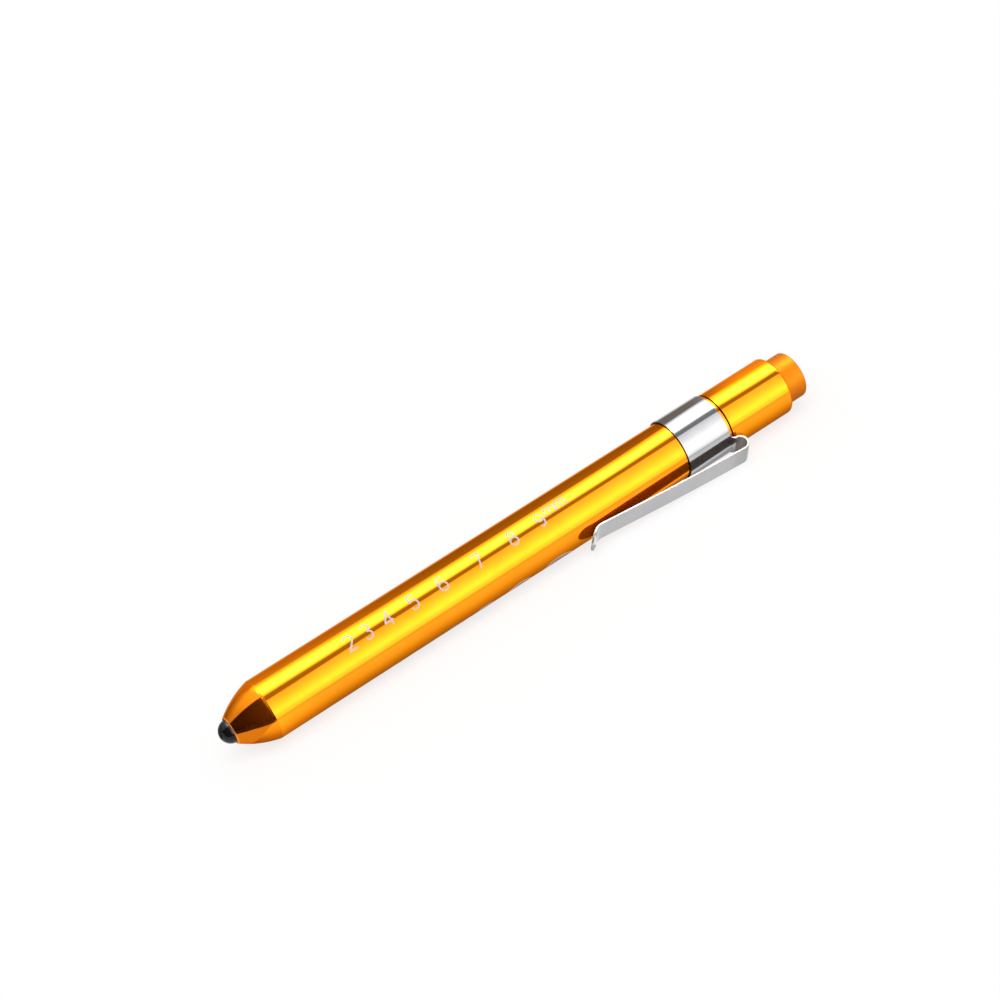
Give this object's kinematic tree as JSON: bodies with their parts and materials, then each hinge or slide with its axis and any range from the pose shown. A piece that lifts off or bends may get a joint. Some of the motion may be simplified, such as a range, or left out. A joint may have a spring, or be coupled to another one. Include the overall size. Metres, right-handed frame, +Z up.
{
  "type": "penlight",
  "caption": "Slim metal pocket penlight with a rounded nose, dome lamp, sprung steel pocket clip, screw-on tail cap and click push button; gauge figures along the barrel.",
  "frame": {"origin": "centre of the push button's flat end face", "axes": "+X along the pen from nose to button, +Z up from the floor that the pen lies on, -Y towards the clip's side"},
  "size_m": [0.1432, 0.0171, 0.0138],
  "materials": {
    "gold_anodised": "polished gold anodised aluminium",
    "button_satin": "satin orange anodised aluminium",
    "clip_steel": "polished stainless sheet",
    "lamp_body": "smoky moulded epoxy, glossy",
    "lamp_chip": "chip under yellow phosphor",
    "lead_wire": "tinned steel lead",
    "contact_brass": "stamped brass",
    "spring_steel": "drawn spring wire",
    "white_plastic": "moulded acetal",
    "black_plastic": "moulded black nylon",
    "cell_steel": "nickel-plated steel",
    "cell_mix": "packed dark electrode mix",
    "cell_seal": "nylon seal",
    "cell_jacket": "shrunk plastic film"
  },
  "bodies": {
    "body": {"barrel": "gold_anodised", "clip_band": "clip_steel", "led_lens": "lamp_body", "led_anode": "lead_wire", "led_cathode": "lead_wire", "led_chip": "lamp_chip", "led_holder": "white_plastic", "front_contact": "contact_brass", "front_cell_can": "cell_steel", "front_cell_core": "cell_mix", "front_cell_seal": "cell_seal", "front_cell_base": "cell_steel", "front_cell_jacket": "cell_jacket", "rear_cell_can": "cell_steel", "rear_cell_core": "cell_mix", "rear_cell_seal": "cell_seal", "rear_cell_base": "cell_steel", "rear_cell_jacket": "cell_jacket"},
    "clip": {"clip_arm": "clip_steel"},
    "contact_coil": {"battery_spring": "spring_steel"},
    "cap": {"tail_cap": "gold_anodised", "switch_housing": "black_plastic", "battery_contact": "contact_brass", "side_contact": "contact_brass", "switch_retainer": "contact_brass", "return_spring": "spring_steel"},
    "button": {"push_button": "button_satin", "switch_plunger": "white_plastic"},
    "rotor": {"switch_rotor": "white_plastic", "contact_disc": "contact_brass"}
  },
  "joints": [
    {"name": "clip_flex", "type": "hinge", "parent": "body", "child": "clip", "pos_m": [-0.021, -0.0075, -0.00378], "axis": [0, -0.4502, 0.8929], "range_deg": [0, 5], "stiffness_Nm_per_rad": 2.4},
    {"name": "cap_travel", "type": "slide", "parent": "body", "child": "contact_coil", "axis": [1, 0, 0], "range_m": [0, 0.004]},
    {"name": "cap_turn", "type": "hinge", "parent": "contact_coil", "child": "cap", "pos_m": [-0.012, 0, 0], "axis": [1, 0, 0], "range_deg": [0, 1440]},
    {"name": "button_press", "type": "slide", "parent": "cap", "child": "button", "axis": [-1, 0, 0], "range_m": [0, 0.0025], "stiffness_N_per_m": 700, "springref_m": -0.001, "deforming": ["return_spring"]},
    {"name": "rotor_turn", "type": "hinge", "parent": "button", "child": "rotor", "pos_m": [-0.02, 0, 0], "axis": [1, 0, 0], "range_deg": [0, 22.5]}
  ],
  "couplings": [
    {"joint": "cap_turn", "follows": "cap_travel", "rad_per_m": 6283.2},
    {"joint": "rotor_turn", "follows": "button_press", "rad_per_m": 157.08}
  ]
}
